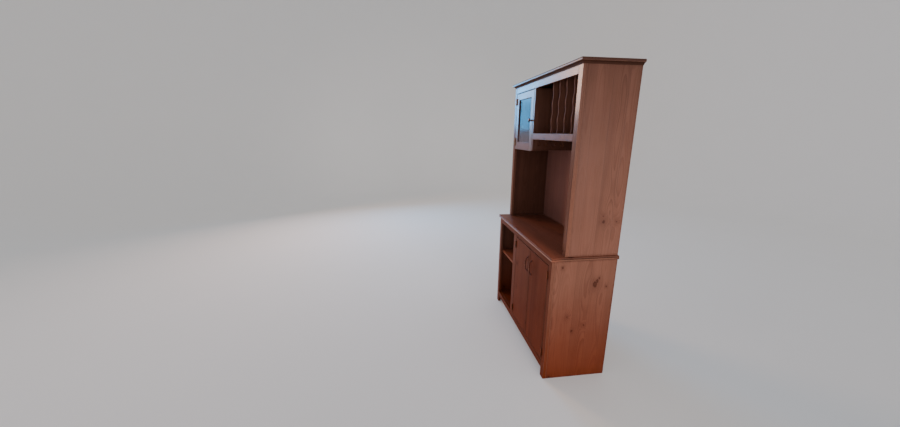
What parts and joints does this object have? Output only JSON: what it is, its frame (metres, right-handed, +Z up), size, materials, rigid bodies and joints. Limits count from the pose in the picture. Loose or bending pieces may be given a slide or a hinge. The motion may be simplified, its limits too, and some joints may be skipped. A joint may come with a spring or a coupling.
{
  "type": "galley dresser",
  "caption": "Free-standing wooden galley dresser: base with niche and hinged doors, counter, glazed cupboard, plate rack and cup hooks.",
  "frame": {"origin": "middle of the footprint's bounding box, on the floor", "axes": "+Z up, front (doors) faces -Y, back (wall side) faces +Y, +X towards the end with the plate rack"},
  "size_m": [1.055, 0.4222, 1.84],
  "materials": {
    "varnished_pine": "satin varnish over knotty softwood boards",
    "back_panel": "satin varnish over thin ply",
    "dark_metal": "dark bronzed, worn on the high spots",
    "aged_brass": "dull brass",
    "clear_glass": "clear polished"
  },
  "bodies": {
    "carcass": {"base_side_left": "varnished_pine", "base_side_right": "varnished_pine", "base_bottom": "varnished_pine", "base_back": "back_panel", "base_hanging_rail": "varnished_pine", "plinth": "varnished_pine", "base_partition": "varnished_pine", "niche_shelf": "varnished_pine", "cupboard_shelf": "varnished_pine", "base_stile_left": "varnished_pine", "base_stile_right": "varnished_pine", "base_rail_top": "varnished_pine", "base_rail_bottom": "varnished_pine", "base_stile_middle": "varnished_pine", "counter_top": "varnished_pine", "upper_side_left": "varnished_pine", "upper_side_right": "varnished_pine", "upper_back": "back_panel", "upper_hanging_rail": "varnished_pine", "upper_partition": "varnished_pine", "rack_shelf": "varnished_pine", "glazed_floor": "varnished_pine", "glazed_shelf": "varnished_pine", "upper_stile_left": "varnished_pine", "upper_stile_right": "varnished_pine", "upper_rail_top": "varnished_pine", "rack_rail": "varnished_pine", "top_board": "varnished_pine", "crown_moulding": "varnished_pine", "rack_divider_1": "varnished_pine", "rack_divider_2": "varnished_pine", "rack_divider_3": "varnished_pine", "rack_divider_4": "varnished_pine", "cup_hook_1": "aged_brass", "cup_hook_2": "aged_brass", "cup_hook_3": "aged_brass", "cup_hook_4": "aged_brass", "door_left_hinge_lower": "aged_brass", "door_left_hinge_upper": "aged_brass", "door_right_hinge_lower": "aged_brass", "door_right_hinge_upper": "aged_brass", "glass_door_hinge_lower": "aged_brass", "glass_door_hinge_upper": "aged_brass"},
    "door_left": {"door_left": "varnished_pine", "door_left_leaf_lower": "aged_brass", "door_left_leaf_upper": "aged_brass", "door_left_pull": "dark_metal"},
    "door_right": {"door_right": "varnished_pine", "door_right_leaf_lower": "aged_brass", "door_right_leaf_upper": "aged_brass", "door_right_pull": "dark_metal"},
    "glass_door": {"glass_door_stile_left": "varnished_pine", "glass_door_stile_right": "varnished_pine", "glass_door_rail_top": "varnished_pine", "glass_door_rail_bottom": "varnished_pine", "glass_pane": "clear_glass", "glass_door_knob": "dark_metal", "glass_door_leaf_lower": "aged_brass", "glass_door_leaf_upper": "aged_brass"}
  },
  "joints": [
    {"name": "door_left_hinge", "type": "hinge", "parent": "carcass", "child": "door_left", "pos_m": [-0.089, -0.19307, 0.41385], "axis": [0, 0, -1], "range_deg": [0, 170]},
    {"name": "door_right_hinge", "type": "hinge", "parent": "carcass", "child": "door_right", "pos_m": [0.468, -0.19307, 0.41385], "axis": [0, 0, 1], "range_deg": [0, 170]},
    {"name": "glass_door_hinge", "type": "hinge", "parent": "carcass", "child": "glass_door", "pos_m": [-0.463, -0.11607, 1.55785], "axis": [0, 0, -1], "range_deg": [0, 170]}
  ]
}
